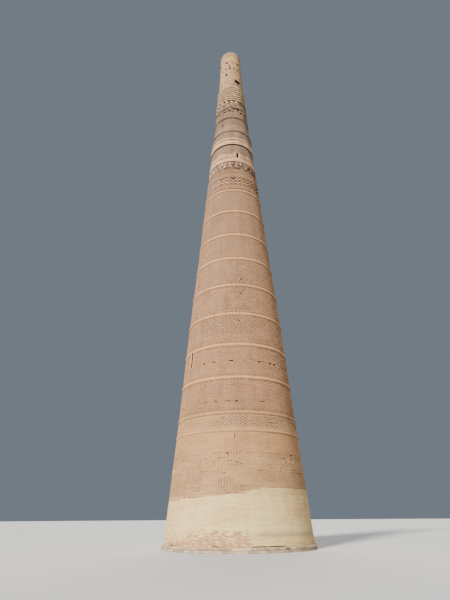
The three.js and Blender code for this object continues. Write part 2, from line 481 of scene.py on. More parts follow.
OPENINGS = [
    SIDE_SLIT,
    Opening(12, 38.99, 0.24, 0.82, THROUGH, offset=0.54),
    Opening(33, 53.42, 0.8, 0.64, 1.2, slope=12, ragged=0.06),
    *[Opening(a, 0.03, width, 0.05, 0.12) for a, width in FOOT_JOINTS.items()],
    *[Opening(a, *sizes, *KINDS[kind]) for kind, *sizes, azimuths in HOLES for a in azimuths],
    Opening(-7.5, 56.58, 0.1, 0.9, 0.4, slope=-12),
    Opening(-3.4, 7.42, 0.03, 0.36, 0.16, ragged=0.02),
]
# Panels of upright bars on the old walls: azimuths from and to, and heights from and to
PANELS = [
    (-46, -31, 3.85, 5.3),
    (-18, -5, 3.65, 4.45),
    (11, 31, 4.05, 4.6),
    (-12, 1, 6.45, 7.25),
    (70, 84, 3.8, 4.6),
    (112, 130, 4.0, 5.2),
    (165, 180, 6.4, 7.2),
    (-150, -134, 3.9, 4.7),
    (-104, -92, 6.4, 7.2),
]


# Bricks


TREE_INPUTS = {
    "Layout": "Geometry",
    "Worn Ends": "Float",
    "Worn Edges": "Float",
    "Finish": "Material",
    "Second Finish": "Material",
    # The underside finish paints shade on the faces that point down
    "Underside Shade Finish": "Material",
}
WORN_ENDS, WORN_EDGES = 0.03, 0.14  # what wear takes off a brick's face, as shares of it
BRICK_LEAN = 0.006  # how far the bricks are turned out of true, in radians
TONE_SPREAD = 0.16
# First and last column of what a brick's point carries to the tree and to its finish
LAYERS = {"turn": (3, 6), "size": (6, 9), "tone": (9, 10), "second": (10, 11), "stain": (11, 12)}


def brick_tree():
    """Geometry Nodes tree that sets a worn brick on every point of a layout."""
    tree = bpy.data.node_groups.new("Lay Bricks", "GeometryNodeTree")
    tree.interface.new_socket("Bricks", in_out="OUTPUT", socket_type="NodeSocketGeometry")
    for name, kind in TREE_INPUTS.items():
        tree.interface.new_socket(name, in_out="INPUT", socket_type="NodeSocket" + kind)
    add = NodeMaker(tree).add

    def compute(operation, first, second):
        return add("ShaderNodeMath", {0: first, 1: second}, operation=operation)[0]

    def named(name, kind="FLOAT_VECTOR"):
        return add("GeometryNodeInputNamedAttribute", {"Name": name}, data_type=kind)[0]

    def parts_of(vector):
        return add("ShaderNodeSeparateXYZ", {0: vector})

    def drawn_in(part, worn):
        kept = compute("SUBTRACT", 1, compute("MULTIPLY", in_front, given[worn]))
        return compute("MULTIPLY", place[part], kept)

    given = add("NodeGroupInput")
    cube = add("GeometryNodeMeshCube")["Mesh"]
    inputs = {"Geometry": cube, "Translation": (0, -0.5, 0)}
    brick = add("GeometryNodeTransform", inputs)["Geometry"]

    place = parts_of(add("GeometryNodeInputPosition")[0])
    in_front = compute("LESS_THAN", place["Y"], -0.5)
    inputs = {"X": drawn_in("X", "Worn Ends"), "Y": place["Y"], "Z": drawn_in("Z", "Worn Edges")}
    worn = add("ShaderNodeCombineXYZ", inputs)[0]
    brick = add("GeometryNodeSetPosition", {"Geometry": brick, "Position": worn})["Geometry"]
    facing = parts_of(add("GeometryNodeInputNormal")["Normal"])
    inputs = {"Geometry": brick, "Selection": compute("GREATER_THAN", facing["Y"], 0.9)}
    open_back = add("GeometryNodeDeleteGeometry", inputs, domain="FACE")["Geometry"]

    turn = add("FunctionNodeEulerToRotation", {0: named("turn")})[0]
    inputs = {"Points": given["Layout"], "Instance": open_back, "Rotation": turn}
    bricks = add("GeometryNodeInstanceOnPoints", {**inputs, "Scale": named("size")})[0]
    bricks = add("GeometryNodeRealizeInstances", {"Geometry": bricks})["Geometry"]
    facing = parts_of(add("GeometryNodeInputNormal")["Normal"])
    for finish, chosen in (
        ("Finish", True),
        ("Second Finish", compute("GREATER_THAN", named("second", "FLOAT"), 0.5)),
        # Faces that point down get painted shade, with some soot
        ("Underside Shade Finish", compute("LESS_THAN", facing["Z"], -0.55)),
    ):
        inputs = {"Geometry": bricks, "Selection": chosen, "Material": given[finish]}
        bricks = add("GeometryNodeSetMaterial", inputs)["Geometry"]
    add("NodeGroupOutput", {0: bricks})
    return tree


def running_bond(count, row):
    """Edges of one course of whole bricks, each course moved on by half a brick."""
    step = TURN / count
    starts = step * (np.arange(count) + 0.5 * (row % 2))
    return np.column_stack([starts, starts + step])


def trimmed(bricks, spans):
    """Bricks, as rows that begin with their two edges, less the spans of the openings."""
    for low, high in spans:
        for shift in (-TURN, 0, TURN):
            left = bricks[bricks[:, 0] < low + shift].copy()
            left[:, 1] = np.minimum(left[:, 1], low + shift)
            right = bricks[bricks[:, 1] > high + shift].copy()
            right[:, 0] = np.maximum(right[:, 0], high + shift)
            bricks = np.concatenate([left, right])
    return bricks


class Bricklayer:
    """Collects the bricks of one course of the frame as points for the brick tree.

    The mortar shell lies behind the wall's face by the recess. A groove, given by its height
    and depth, may be left open at the course's foot and another at its head.
    """

    def __init__(self, node, recess=None, foot=(0, 0), head=(0, 0)):
        self.node = node
        self.measure(frame["nodes"][node].data)
        self.sizes = bpy.context.scene.minaret_brickwork
        self.recess = self.sizes.joint_depth if recess is None else recess * REAL
        self.low, self.high = self.foot + foot[0] * REAL, self.head - head[0] * REAL
        self.grooves = [(self.foot, self.low, foot[1] * REAL)]
        self.grooves.append((self.high, self.head, head[1] * REAL))
        self.chance = np.random.default_rng([self.sizes.seed, *node.encode()])
        self.points = []
        reaches = [(opening, *opening.reach()) for opening in OPENINGS]
        self.openings = [o for o, low, high in reaches if low < self.head and high > self.foot]

    def measure(self, mesh):
        """Finds the course's foot and head, its radius by level, and its well."""
        places = np.empty(3 * len(mesh.vertices), np.float32)
        mesh.vertices.foreach_get("co", places)
        x, y, heights = np.unique(np.round(places.reshape(-1, 3), 5), axis=0).T
        radii = np.hypot(x, y)
        self.foot, self.head = float(heights.min()), float(heights.max())
        self.middle = (self.foot + self.head) / 2
        self.levels, self.radii = [], []
        # How near points lie to one circle, how many make a ring, and the narrowest well
        near, fewest, narrowest = 0.001, 24, 0.1
        for height in np.unique(heights):
            ring = radii[heights == height]
            if np.sum(ring > ring.max() - near) >= fewest:
                self.levels.append(float(height))
                self.radii.append(float(ring.max()))
        low = radii[heights < self.foot + near].min()
        high = radii[heights > self.head - near].min()
        self.well = (float(low), float(high)) if low > narrowest else None

    def face(self, height):
        return float(np.interp(height, self.levels, self.radii))

    def rows(self, low=None, high=None):
        """Middle height and pitch of each course of bricks between two heights."""
        low = self.low if low is None else low
        high = self.high if high is None else high
        count = max(1, round((high - low) / (self.sizes.brick_height + self.sizes.joint)))
        pitch = (high - low) / count
        return [(low + (row + 0.5) * pitch, pitch) for row in range(count)]

    def bricks_round(self, brick=None):
        """Whole bricks of a length in one course at half height."""
        size = brick * REAL if brick else self.sizes.brick_length
        return round(TURN * self.face(self.middle) / (size + self.sizes.joint))

    def courses(self, rows, rule, brick=None):
        """Lays courses in running bond, beside the panels.

        A rule of a course's azimuths, height and number tells how its bricks are laid.
        """
        count = self.bricks_round(brick)
        for row, (height, tall) in enumerate(rows):
            crossed = [panel[:2] for panel in PANELS if level(panel[2]) < height < level(panel[3])]
            edges = trimmed(running_bond(count, row), np.radians(crossed))
            self.lay(height, tall, edges, **rule(edges.mean(1), height, row))

    def plain_courses(self, rows, tone):
        self.courses(rows, lambda azimuths, height, row: {"tone": tone})

    def lay(
        self, height, tall, edges, proud=0, tone=0.5, second=0, stain=0, missing=0, there=slice(None)
    ):
        """Lays bricks between edges given as azimuths, clear of the openings."""
        looks = np.broadcast_arrays(*edges.T, proud, tone, second, stain)
        bricks = np.column_stack(looks)[there]
        face = self.face(height)
        spans = [opening.span(height, face) for opening in self.openings]
        bricks = trimmed(bricks, [span for span in spans if span])
        joint = self.sizes.joint / face
        middles = bricks[:, :2].mean(1)
        lengths = (bricks[:, 1] - bricks[:, 0] - joint) * face
        kept = lengths > self.sizes.joint * 2
        if missing:
            kept &= self.chance.random(len(bricks)) > missing
        bricks, middles, lengths = bricks[kept], middles[kept], lengths[kept]
        proud, tone, second, stain = bricks[:, 2:].T
        uneven = self.chance.normal(0, self.sizes.unevenness, len(bricks))
        # The tone drifts from course to course and in slow waves along each course
        drift, wave = self.chance.normal(0, self.sizes.course_variation, 2)
        turns, start = self.chance.integers(2, 12), self.chance.random() * TURN
        tone = tone + drift + 1.4 * wave * np.sin(turns * middles + start)
        proud, tall = proud * REAL + uneven, tall - self.sizes.joint
        looks = dict(second=second, stain=stain)
        self.set_bricks(middles, height, lengths, tall, proud, tone, **looks)

    def set_bricks(self, azimuths, heights, lengths, tall, proud, tone, **looks):
        """Sets single bricks that stand proud of the face."""
        bed = self.recess + self.sizes.joint_depth / 2
        backs = np.interp(heights, self.levels, self.radii) - bed
        depths = np.maximum(proud + bed, self.sizes.joint_depth / 2)
        self.place_bricks(azimuths, backs, heights, lengths, depths, tall, tone, **looks)

    def place_bricks(
        self, azimuths, backs, heights, lengths, depths, tall, tone, roll=0, pitch=0, second=0, stain=0
    ):
        """Adds bricks by the radius of their backs.

        A roll turns them in the wall's face, and a pitch tips their faces up.
        """
        lean = self.chance.normal(0, BRICK_LEAN, (len(azimuths), 2))
        tones = tone + self.chance.normal(0, TONE_SPREAD, len(azimuths))
        place = (backs * np.sin(azimuths), -backs * np.cos(azimuths), heights)
        turn = (lean[:, 0] - pitch, roll + lean[:, 1] * 0.4, azimuths)
        size = (lengths, depths, tall)
        looks = (np.clip(tones, 0, 1), second, stain)
        columns = np.broadcast_arrays(*place, *turn, *size, *looks)
        self.points.append(np.column_stack(columns))

    def shell_edge(self):
        """Points of the shell's face from foot to head, and which spans lie in grooves."""
        ends = [end for low, high, _ in self.grooves for end in (low, high)]
        breaks = sorted({*self.levels, *ends})
        points, rough, was_open = [], [], False
        for low, high in zip(breaks, breaks[1:]):
            depths = [d for a, b, d in self.grooves if a < (low + high) / 2 < b]
            recess = depths[0] if depths else self.recess
            for height in (low, high):
                point = (self.face(height) - recess, height)
                if not points or point != points[-1]:
                    points.append(point)
                    rough.append(bool(depths) or was_open)
                was_open = bool(depths)
        return points, rough[1:]

    def shell(self, edge, rough, mortar):
        """Mortar shell behind the bricks, of dark core in its grooves and well, partly painted shade.
        """
        if self.well:
            profile = [*edge, (self.well[1], self.head), (self.well[0], self.foot)]
            slots = [*rough, True, True, True]
        else:
            profile = [(0, self.foot), *edge, (0, self.head)]
            slots = [True, *rough, True]
        mesh = turned_mesh(self.node + "_shell", profile)
        mesh.materials.append(finish_of(mortar))
        mesh.materials.append(finish_of("core"))
        slots = np.repeat(np.array(slots, np.int32), SHELL_SIDES)
        mesh.polygons.foreach_set("material_index", slots)
        return add_object(mesh.name, mesh)

    def cut_openings(self, shell):
        """Takes the openings out of the shell with one exact boolean."""
        vertices, faces = [], []
        for opening in self.openings:
            faces += [[len(vertices) + corner for corner in side] for side in BOX_SIDES]
            vertices += opening.corners(self.face(opening.height))
        mesh = bpy.data.meshes.new("opening_cutter")
        mesh.from_pydata(vertices, [], faces)
        for material in shell.data.materials:
            mesh.materials.append(material)
        # The sides of the holes take the dark core, partly painted shade
        mesh.polygons.foreach_set("material_index", [1] * len(faces))
        boolean = shell.modifiers.new("Openings", "BOOLEAN")
        boolean.operation, boolean.solver = "DIFFERENCE", "EXACT"
        boolean.use_self = True  # cutters cross each other inside the thin top shaft
        boolean.object = cutter = add_object("opening_cutter", mesh)
        apply_modifiers(shell)
        bpy.data.objects.remove(cutter)
        bpy.data.meshes.remove(mesh)

    def bricks(self, finish, second):
        """The bricks as one plain mesh, made by the brick tree from the points."""
        points = np.concatenate(self.points)
        mesh = bpy.data.meshes.new(self.node + "_bricks")
        mesh.vertices.add(len(points))
        mesh.vertices.foreach_set("co", points[:, :3].ravel())
        for name, (first, last) in LAYERS.items():
            kind, key = ("FLOAT", "value") if last - first == 1 else ("FLOAT_VECTOR", "vector")
            layer = mesh.attributes.new(name, kind, "POINT")
            layer.data.foreach_set(key, points[:, first:last].ravel())
        made = add_object(mesh.name, mesh)
        nodes = made.modifiers.new("Bricks", "NODES")
        nodes.node_group = bpy.data.node_groups.get("Lay Bricks") or brick_tree()
        # The shaded finish is painted shade for the bricks' undersides
        finishes = (finish_of(finish), finish_of(second), finish_of("shaded"))
        inputs = dict(zip(list(TREE_INPUTS)[1:], (WORN_ENDS, WORN_EDGES, *finishes)))
        for socket in nodes.node_group.interface.items_tree:
            if socket.name in inputs:
                nodes[socket.identifier] = inputs[socket.name]
        apply_modifiers(made)
        for name in ("turn", "size"):
            made.data.attributes.remove(made.data.attributes[name])
        return made

    def build(self, finish, second="ring", mortar="mortar", edge=None):
        """Makes the piece: mortar shell and bricks in one mesh that replaces its course."""
        node = self.node
        points, rough = (edge, [False] * (len(edge) - 1)) if edge else self.shell_edge()
        piece = self.shell(points, rough, mortar)
        if self.openings:
            self.cut_openings(piece)
        join(piece, self.bricks(finish, second))
        piece.name = piece.data.name = node + "_brickwork"
        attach(piece, "root")
        node_slot(node)
        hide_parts(node)


# Kinds of brickwork


def degrees(azimuths):
    """Azimuths in degrees, from -180 to 180."""
    return (np.degrees(azimuths) + 180) % 360 - 180


def within(azimuths, ranges):
    """Whether azimuths lie in one of the ranges, which are in degrees."""
    where = degrees(azimuths)
    return np.any([(where > low) & (where < high) for low, high in ranges], axis=0)


def around(count, shift=0.0):
    """Azimuths of so many things all round the tower."""
    return (np.arange(count) + shift) * TURN / count


def hump(value, middle, width):
    """Smooth bump of height 1 about a middle."""
    return np.exp(-(((value - middle) / width) ** 2))


def patchiness(azimuths, heights, seed, size):
    """Smooth value round the tower, mostly between -2 and 2, in patches of about a size."""
    chance = np.random.default_rng(seed)
    size, value, waves = size * REAL, 0.0, 7
    for _ in range(waves):
        turns = chance.integers(2, 5 + int(6 * REAL / size))
        climb = chance.uniform(-1, 1) * TURN / size
        value = value + np.sin(turns * azimuths + climb * heights + chance.random() * TURN)
    return value / math.sqrt(waves / 2)


def reach(rows):
    """Foot of the lowest and head of the highest of some courses of bricks."""
    return rows[0][0] - rows[0][1] / 2, rows[-1][0] + rows[-1][1] / 2


SLIP_DEPTH = 0.02


def paired_courses(layer, rows, gap, tone=0.5, second=0.0, slip_tone=0.3, wear=None):
    """Pairs of courses with one stagger, and wide joints closed by slips, some of them sunk.

    From afar the joints of the pairs cross the wall in slanting lines. A rule of azimuth
    and height may say how worn the slips are.
    """
    gap = gap * REAL
    face = layer.face(layer.middle)
    count = round(TURN * face / (layer.sizes.brick_length + gap))
    step, half = TURN / count, gap / 2 / face
    shift, slip = 0.3 * layer.sizes.joint, 0.7 * half
    for pair, (low, high) in enumerate(zip(rows[::2], rows[1::2])):
        starts = step * (np.arange(count) + 0.5 * (pair % 2))
        edges = np.column_stack([starts + half, starts + step - half])
        layer.lay(low[0] + shift, low[1], edges, tone=tone)
        layer.lay(high[0] - shift, high[1], edges, tone=tone)
        slips = np.column_stack([starts - slip, starts + slip])
        middle = (low[0] + high[0]) / 2
        ragged = layer.chance.normal(0, 0.5, count) + (wear(starts, middle) if wear else 0.5)
        worn = patchiness(starts, middle, seed=9, size=2) < ragged
        looks = dict(proud=-SLIP_DEPTH * worn, second=second * worn)
        tones = np.where(worn, slip_tone, 0.8 * tone)
        layer.lay(middle, low[1] + high[1], slips, tone=tones, **looks)
    if len(rows) % 2:
        layer.plain_courses(rows[-1:], tone)


def crossing_straps(
    layer, low, high, tiers, cell, strap, relief, there, second=0.0, tone=0.75, stud=1.0
):
    """Slanting straps of short bricks that cross in cells, with studs in the cells.

    Straps are left only where a rule of azimuth and height says so.
    """
    strap = strap * REAL
    short, lost = 0.6, 0.12  # length against a whole brick, and share of fallen ones
    face = layer.face((low + high) / 2)
    cells = round(TURN * face / (cell * REAL))
    width, tall = TURN * face / cells, (high - low) / tiers
    long, angle_up = math.hypot(width, tall), math.atan2(tall, width)
    count = max(2, round(long / (layer.sizes.brick_length * short)))
    size = long / count - layer.sizes.joint
    steps = (np.arange(count) + 0.5) / count
    for tier in range(tiers):
        for lean, lift in ((1, 0.0), (-1, 0.005 * REAL)):
            across = steps if lean > 0 else 1 - steps
            middles = (np.arange(cells)[:, None] + across[None, :]) / cells * TURN
            heights = low + (tier + steps)[None, :] * tall + 0 * middles
            kept = there(middles, heights) & (layer.chance.random(middles.shape) > lost)
            looks = dict(roll=-lean * angle_up, second=second)
            layer.set_bricks(middles[kept], heights[kept], size, strap, lift, tone, **looks)
        studs = (np.arange(2 * cells) + 0.5) / (2 * cells) * TURN
        sunk = np.where(np.arange(2 * cells) % 2 == 0, 0.7, 0.3) * relief * REAL
        height = low + (tier + 0.5) * tall
        kept = there(studs, height + 0 * studs)
        wide = stud * strap
        layer.set_bricks(studs[kept], height, wide, wide, -sunk[kept], 0.8, second=second)


def broken_facing(layer, rows, lost, depth, tone=0.5):
    """Courses whose bricks have fallen where a rule of azimuth and height says so.

    Broken stumps are left in the holes, and here and there a brick is gone altogether.
    """
    stumpless = 0.3  # share of the fallen bricks

    def broken(azimuths, height, row):
        chance, count = layer.chance, len(azimuths)
        fallen = lost(azimuths, height)
        gone = fallen & (chance.random(count) < stumpless)
        stumps, worn = -chance.uniform(0.3, 1.0, count), -chance.uniform(0.0, 0.15, count)
        proud = depth * np.where(fallen, stumps, worn)
        return dict(proud=proud, tone=np.where(fallen, 0.15, tone), there=~gone)

    layer.courses(rows, broken, brick=0.2)


def blocks(layer, azimuths, height, long, tall, proud):
    """Single pale blocks that stand out of the wall."""
    sizes = (long * REAL, tall * REAL, proud * REAL)
    layer.set_bricks(np.radians(azimuths), height, *sizes, 0.95, second=1.0)


# The pieces


def build_footing():
    """Two courses of stones, and a ring of flat ones on the ledge."""
    layer = Bricklayer("footing_ring")
    gap, ledge = 0.035 * REAL, 0.12 * REAL
    rows = [(layer.foot + rise * REAL, tall * REAL) for rise, tall in ((0.08, 0.16), (0.24, 0.15))]

    def stones(azimuths, height, row):
        return dict(tone=layer.chance.uniform(0, 1, len(azimuths)) ** 1.6, missing=0.02)

    layer.courses(rows, stones, brick=0.42)
    edge = layer.radii[0] - layer.sizes.joint_depth
    azimuths = around(layer.bricks_round(brick=0.36))
    size = (0.34 * REAL, 1.45 * gap, ledge)
    height = layer.head - 1.5 * gap
    layer.place_bricks(azimuths, edge - ledge / 2, height, *size, 0.6, pitch=math.pi / 2)
    step = layer.head - gap
    edges = [(edge, layer.foot), (edge, step), (edge - ledge, step), (edge - ledge, layer.head)]
    layer.build("footing", edge=edges)


REPAIR_STEP = 0.124
# Height of the upper edge of the repaired bricks by azimuth
REPAIR_LINE = {
    -180: 3.3, -120: 2.9, -60: 2.97, -44: 3.1, -30: 3.1, -22: 3.22,
    0: 3.34, 7: 3.5, 12: 3.65, 57: 3.76, 120: 3.4, 180: 3.3,
}


def over_repair(azimuths, height):
    """How far a height lies over the stepped upper edge of the repaired bricks."""
    line = np.interp(degrees(azimuths), list(REPAIR_LINE), list(REPAIR_LINE.values()))
    return height - (FOOT_LEVEL + np.round(line / REPAIR_STEP) * REPAIR_STEP * REAL)


def build_repaired_base():
    """The new facing, with an old red patch low at the front and a damp stain beside it."""
    layer = Bricklayer("repaired_base")

    def repaired(azimuths, height, row):
        count, where = len(azimuths), degrees(azimuths)
        rise = (height - FOOT_LEVEL) / REAL
        front = np.interp(where, [-44, -30, 6.5, 7], [0.2, 1, 1, 0])
        front = front * np.interp(rise, [0, 0.5, 0.85, 1.1], [0.9, 0.75, 0.45, 0])
        side = np.interp(where, [-85, -60, -14, -10], [0, 1, 1, 0]) + hump(where, 150, 35)
        side = side * np.interp(rise, [0, 0.3, 0.55, 1.1], [0.85, 0.6, 0.15, 0])
        patch = layer.chance.random(count) < np.maximum(front, side)
        damp = hump(rise, 0.72, 0.14) * np.interp(where, [2, 14, 60, 80], [0, 1, 0.8, 0])
        uneven = 0.1 * patchiness(azimuths, height, seed=3, size=1.4) + 0.25 * hump(rise, 1.2, 0.2)
        return dict(
            proud=-0.012 * patch,
            tone=np.where(patch, layer.chance.uniform(0, 0.9, count) ** 2, 0.6 + uneven),
            second=(over_repair(azimuths, height) > 0) | patch,
            stain=0.6 * damp,
        )

    layer.courses(layer.rows(), repaired)
    layer.build("repaired", second="lower_wall", mortar="pale_mortar")


def upright_bars(layer, rows):
    """Stacks of short bricks, with narrow grooves between them, in the panels."""
    face = layer.face(layer.middle)
    groove = 0.045 * REAL / face
    for left, right, low, high in PANELS:
        left, right = math.radians(left), math.radians(right)
        count = round((right - left) * face / (0.21 * REAL))
        bars = np.linspace(left, right, count + 1)
        stacks = np.column_stack([bars[:-1] + groove / 2, bars[1:] - groove / 2])
        slips = np.column_stack([bars - groove / 2, bars + groove / 2])
        for height, tall in rows:
            if level(low) < height < level(high):
                layer.lay(height, tall, stacks, proud=0.004)
                layer.lay(height, tall, slips, proud=-0.01, tone=0.2)


def old_wall(layer, missing, tone=0.5, border=0.0, more=None):
    """Plain old courses and panels of upright bars, with darker border courses."""
    rows = layer.rows()

    def old(azimuths, height, row):
        streaks = 0.1 * patchiness(azimuths, height, seed=6, size=0.8)
        if row in (0, len(rows) - 1):
            streaks -= border * (patchiness(azimuths, height, seed=8, size=1.5) > -0.4)
        looks = more(azimuths, height) if more else {}
        return dict(tone=tone + streaks, missing=missing, **looks)

    layer.courses(rows, old)
    upright_bars(layer, rows)


def build_lower_wall():
    """Old wall over the stepped edge of the repair."""
    layer = Bricklayer("lower_wall", recess=0.022)
    tall = layer.rows()[0][1]

    def repair(azimuths, height):
        rise = over_repair(azimuths, height)
        seam = (rise > 0) & (rise < 1.2 * tall)
        lost = seam & (layer.chance.random(len(azimuths)) < 0.12)
        return dict(second=rise < 0, there=~lost)

    old_wall(layer, missing=0.003, more=repair)
    layer.build("lower_wall", second="repaired")


def build_worn_frieze():
    """Wall on which only traces of a raised frieze are left."""
    layer = Bricklayer("worn_frieze", recess=0.03)
    old_wall(layer, missing=0.006, border=0.35)
    tiers, cells = 8, round(TURN * layer.face(layer.middle) / (0.24 * REAL))
    columns = around(cells)
    for tier in range(tiers):
        height = layer.foot + (tier + 0.5) * (layer.head - layer.foot) / tiers
        there = patchiness(columns, height, seed=5, size=1.6) > -0.15
        there &= ~within(columns, [(-46, -31)])
        there &= layer.chance.random(cells) < 0.7
        count = there.sum()
        azimuths = columns[there] + layer.chance.uniform(-0.3, 0.3, count) * TURN / cells
        kind = layer.chance.integers(0, 6, count)
        looks = dict(roll=np.radians([0, 0, 90, 90, 30, -30])[kind])
        long = layer.chance.uniform(0.1, 0.22, count) * REAL
        # A dark brick under each mark is a painted shadow
        painted_shadow = height - 0.055 * REAL
        layer.set_bricks(azimuths, painted_shadow, long, 0.05 * REAL, 0.004 * REAL, 0, **looks)
        looks["second"] = 1
        layer.set_bricks(azimuths, height, long, 0.06 * REAL, 0.024 * REAL, 0.95, **looks)
    layer.build("lower_wall", second="smooth")


def build_smooth_wall():
    layer = Bricklayer("smooth_wall", recess=0.014)
    old_wall(layer, missing=0, tone=0.55)
    layer.build("smooth")


def build_ring(node, finish, tone):
    """A ring: a course of upright bricks between two level ones, the upper one paler."""
    layer = Bricklayer(node)
    edge = 0.055 * REAL
    flat = running_bond(layer.bricks_round(), row=0)
    layer.lay(layer.foot + edge / 2, edge, flat, tone=tone)
    layer.lay(layer.head - edge / 2, edge, flat, tone=tone, second=1)
    upright = running_bond(layer.bricks_round(brick=0.062), row=0)
    layer.lay(layer.middle, layer.head - layer.foot - 2 * edge, upright, tone=tone)
    layer.build(finish, second="smooth" if finish == "lower_wall" else finish)


PLAIN_GAP = 0.03
# Gap between bricks, share of plain courses, and patches of worn slips as azimuths from and to
# and as shares of the stage's height from and to
STAGES = [
    (0.07, 0, []),
    (0.07, 0, []),
    (0.12, 0.2, [(-40, 28, 0.32, 0.96)]),
    (0.13, 0.05, [(-8, 20, 0.7, 1), (-22, 18, 0.06, 0.64)]),
    (0.12, 0.05, [(-8, 14, 0.1, 0.94)]),
    (0.08, 0, []),
    (0.08, 0, []),
    (0.08, 0, []),
]


def build_stage(node, gap, plain, patches):
    """A stage between two rings: darker border courses, and some plain courses under the others.

    The patches of worn slips repeat thrice round it.
    """
    layer = Bricklayer(node, recess=0.03)
    rows = layer.rows()
    slit = node == "stage_2"
    second = 0 if slit else 1
    start = 2 + 2 * round(len(rows) * plain / 2)

    def wear(azimuths, height):
        where = np.degrees(azimuths) + 6 * patchiness(azimuths, height, seed=4, size=2)
        where = (where + 60) % 120 - 60
        share = (height - layer.foot) / (layer.head - layer.foot)
        worn = np.full(len(azimuths), -1.5 if patches else 0.3)
        for left, right, low, high in patches:
            worn[(where > left) & (where < right) & (low < share < high)] = 1.1
        return worn

    # Darker border courses: the upper ones paint the shade under the ring above, the lower ones a dirt
    # line over the ring below
    for border in (rows[:2], rows[-2:]):
        paired_courses(layer, border, PLAIN_GAP, tone=0.15)
    paired_courses(layer, rows[2:start], PLAIN_GAP, second=second)
    looks = dict(tone=0.6, second=second, slip_tone=0.1 if patches else 0.3)
    paired_courses(layer, rows[start:-2], gap, wear=wear, **looks)
    if slit:
        frame_slit(layer)
    layer.build("wall", second="ring" if slit else "worn")


def frame_slit(layer):
    """Pale bricks on end down both sides of the side slit."""
    face = layer.face(SIDE_SLIT.height)
    low, high = SIDE_SLIT.reach()
    heights = np.linspace(low + 0.1 * REAL, high - 0.1 * REAL, 7)
    sizes = (0.12 * REAL, 0.19 * REAL, 0.012 * REAL)
    for side in (-1, 1):
        azimuth = SIDE_SLIT.azimuth + side * (SIDE_SLIT.width / 2 + 0.07 * REAL) / face
        layer.set_bricks(azimuth + 0 * heights, heights, *sizes, 1, second=1)


def build_lower_frieze():
    """Fine slanting straps in the wall's own brick, worn smooth in places."""
    layer = Bricklayer("lower_frieze", recess=0.06, head=(0.02, 0.03))
    relief = 0.045
    rows = layer.rows()
    layer.plain_courses(rows[:2], 0.6)
    layer.plain_courses(rows[-2:], 0.6)

    def there(azimuths, heights):
        worn = 0.6 * within(azimuths, [(-70, -22), (140, 180)])
        return patchiness(azimuths, heights, seed=12, size=2.2) + worn < 0.6

    def field(azimuths, height, row):
        sunk = there(azimuths, height)
        return dict(proud=-relief * sunk, tone=np.where(sunk, 0.75, 0.4), second=sunk)

    layer.courses(rows[2:-2], field)
    straps = dict(tiers=4, cell=0.36, strap=0.042, relief=relief)
    crossing_straps(layer, *reach(rows[2:-2]), there=there, **straps)
    layer.build("lower_wall", second="worn")


WORN_SMOOTH = [(-115, -32), (95, 150)]


def build_upper_frieze():
    """Bold straps and studs on a deep field of dark bricks and core, partly painted shade, and plain
    courses where they wore off.
    """
    layer = Bricklayer("upper_frieze", recess=0.13, foot=(0.06, 0.06), head=(0.08, 0.08))
    rows = layer.rows()
    layer.plain_courses(rows[:1], 0.95)
    layer.plain_courses(rows[-1:], 0.95)

    def there(azimuths, heights):
        broken = patchiness(azimuths, heights, seed=14, size=0.7) > 1.7
        return ~within(azimuths, WORN_SMOOTH) & ~broken

    def field(azimuths, height, row):
        count, worn = len(azimuths), within(azimuths, WORN_SMOOTH)
        depth = np.where(worn, 0.02, layer.chance.uniform(0.08, 0.13, count))
        # The field bricks are laid dark, partly painted shade in the recess
        tone = np.where(worn, 0.95 - 0.4 * (row % 3 == 0), 0.1)
        return dict(proud=-depth, tone=tone, there=worn | (layer.chance.random(count) < 0.7))

    layer.courses(rows[1:-1], field, brick=0.2)
    straps = dict(tiers=2, cell=0.5, strap=0.075, relief=0.06, stud=1.3)
    crossing_straps(layer, *reach(rows[1:-1]), there=there, second=1, tone=0.3, **straps)
    layer.build("worn", second="band", mortar="core")


def build_plain(node, finish, tone, mortar="mortar", foot=(0, 0)):
    """A band of plain courses in one tone."""
    layer = Bricklayer(node, foot=foot)
    layer.plain_courses(layer.rows(), tone)
    layer.build(finish, mortar=mortar)


def build_collar():
    """The plain walls under and over the upper frieze, the upper one darker at its head."""
    neck = Bricklayer("neck_wall", recess=0.028, foot=(0.12, 0.07))
    paired_courses(neck, neck.rows(), gap=0.06, second=1)
    neck.build("wall", second="worn")
    collar = Bricklayer("collar_wall", recess=0.028)
    seam_foot, seam_head, dark = level(36.1), level(36.16), level(36.4)
    collar.grooves.append((seam_foot, seam_head, 0.04 * REAL))
    for rows, tone in (
        (collar.rows(high=seam_foot), 0.5),
        (collar.rows(seam_head, dark), 0.4),
        (collar.rows(dark), 0),
    ):
        paired_courses(collar, rows, gap=0.08, tone=tone, second=1)
    collar.build("wall", second="worn")


ROUGH_SIDES = [(-36, -8), (20, 55), (80, 120), (150, 176), (-160, -125), (-100, -78)]


